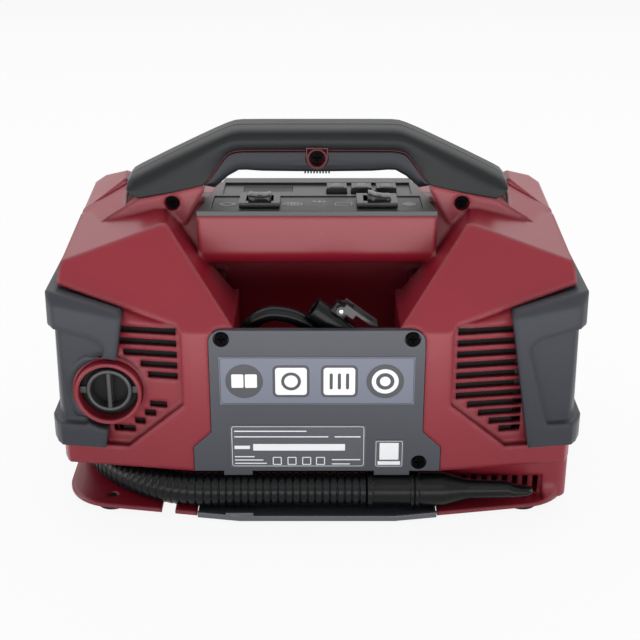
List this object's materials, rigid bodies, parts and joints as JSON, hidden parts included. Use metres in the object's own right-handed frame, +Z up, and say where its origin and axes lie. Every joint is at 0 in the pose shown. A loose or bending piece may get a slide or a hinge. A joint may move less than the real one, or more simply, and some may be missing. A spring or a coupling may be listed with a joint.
{
  "type": "portable air compressor",
  "caption": "Portable air compressor and inflator with a bridge handle, a stowed corrugated hose, side bumpers and a control panel with rockers and buttons.",
  "frame": {"origin": "bottom centre, on the plane that the feet stand on", "axes": "+X along the width, towards the nozzle end; -Y is the long side with the hose pocket; +Z up"},
  "size_m": [0.309, 0.19, 0.2135],
  "materials": {
    "red_plastic": "satin red, fine grain",
    "cover_plastic": "dark grey, fine grain",
    "bumper_plastic": "dark grey soft-touch moulding",
    "grip_rubber": "dark grey-green soft grip",
    "panel_plastic": "mid grey satin",
    "switch_plastic": "black-grey satin",
    "window": "dark display window",
    "board": "circuit board",
    "hose": "black flexible hose",
    "hose_plastic": "black moulding",
    "label": "silver-grey film",
    "label_dark": "dark grey film",
    "steel": "bright steel",
    "screw_steel": "blackened screw",
    "aluminium": "die cast",
    "gear_plastic": "natural nylon",
    "contacts": "brass",
    "foot_rubber": "black rubber"
  },
  "bodies": {
    "body": {"rear_housing": "red_plastic", "front_housing": "red_plastic", "base_tray": "red_plastic", "base_plate": "cover_plastic", "rear_cover": "cover_plastic", "handle_grip_rear": "grip_rubber", "handle_grip_front": "grip_rubber", "control_panel": "panel_plastic", "panel_fascia": "panel_plastic", "display_window": "window", "display_board": "board", "rocker_frame_left": "switch_plastic", "rocker_frame_right": "switch_plastic", "bumper_left": "bumper_plastic", "bumper_right": "bumper_plastic", "outlet_collar": "red_plastic", "outlet_tube": "cover_plastic", "inlet_collar": "red_plastic", "inlet_tube": "cover_plastic", "air_hose": "hose", "hose_cuff": "hose_plastic", "hose_nozzle": "hose_plastic", "hose_coupling": "hose_plastic", "pressure_hose": "hose", "hose_gland": "hose_plastic", "chuck_body": "hose_plastic", "chuck_pin": "steel", "feet": "foot_rubber", "cover_screws": "screw_steel", "housing_screws": "screw_steel", "pump_motor": "steel", "pump_cylinder": "aluminium", "cylinder_head": "aluminium", "pump_frame": "aluminium", "blower_housing": "hose_plastic", "blower_motor": "steel", "power_board": "board", "battery_bay": "cover_plastic", "battery_contacts": "contacts", "mains_inlet": "hose_plastic", "symbol_label": "label", "rating_label": "label_dark", "code_label": "label_dark"},
    "switch_left": {"rocker_left": "switch_plastic"},
    "switch_right": {"rocker_right": "switch_plastic"},
    "key_minus": {"button_minus": "panel_plastic"},
    "key_plus": {"button_plus": "panel_plastic"},
    "key_unit": {"button_unit": "panel_plastic"},
    "lever": {"chuck_lever": "panel_plastic"},
    "crank": {"crank_gear": "gear_plastic"},
    "rotor": {"motor_pinion": "steel", "cooling_fan": "hose_plastic"},
    "rod": {"connecting_rod": "gear_plastic"},
    "pump_piston": {"piston": "aluminium"},
    "blower_wheel": {"impeller": "gear_plastic"}
  },
  "joints": [
    {"name": "rocker_left_tilt", "type": "hinge", "parent": "body", "child": "switch_left", "pos_m": [-0.0335, -0.01418, 0.16607], "axis": [0, 0.9987, -0.0519], "range_deg": [-10, 10]},
    {"name": "rocker_right_tilt", "type": "hinge", "parent": "body", "child": "switch_right", "pos_m": [0.035, -0.01418, 0.16607], "axis": [0, 0.9987, -0.0519], "range_deg": [-20, 0]},
    {"name": "button_minus_press", "type": "slide", "parent": "body", "child": "key_minus", "axis": [0, -0.0519, -0.9987], "range_m": [0, 0.001], "stiffness_N_per_m": 600, "springref_m": -0.0005},
    {"name": "button_plus_press", "type": "slide", "parent": "body", "child": "key_plus", "axis": [0, -0.0519, -0.9987], "range_m": [0, 0.001], "stiffness_N_per_m": 600, "springref_m": -0.0005},
    {"name": "button_unit_press", "type": "slide", "parent": "body", "child": "key_unit", "axis": [0, -0.0519, -0.9987], "range_m": [0, 0.001], "stiffness_N_per_m": 600, "springref_m": -0.0005},
    {"name": "chuck_lever_turn", "type": "hinge", "parent": "body", "child": "lever", "pos_m": [0.01352, -0.0716, 0.12646], "axis": [0, -1, 0], "range_deg": [0, 85]},
    {"name": "gear_spin", "type": "hinge", "parent": "body", "child": "crank", "pos_m": [0.099, -0.016, 0.09], "axis": [0, 1, 0], "continuous": true},
    {"name": "pinion_spin", "type": "hinge", "parent": "body", "child": "rotor", "pos_m": [0.099, -0.016, 0.062], "axis": [0, 1, 0], "continuous": true},
    {"name": "rod_turn", "type": "hinge", "parent": "crank", "child": "rod", "pos_m": [0.099, -0.0257, 0.085], "axis": [0, 1, 0], "continuous": true},
    {"name": "piston_slide", "type": "slide", "parent": "body", "child": "pump_piston", "axis": [0, 0, 1], "range_m": [0, 0.01]},
    {"name": "impeller_spin", "type": "hinge", "parent": "body", "child": "blower_wheel", "pos_m": [-0.09825, -0.03, 0.08], "axis": [0, 1, 0], "continuous": true}
  ],
  "couplings": [
    {"joint": "pinion_spin", "follows": "gear_spin", "ratio": -3.6667},
    {"joint": "rod_turn", "follows": "gear_spin", "ratio": -1}
  ]
}
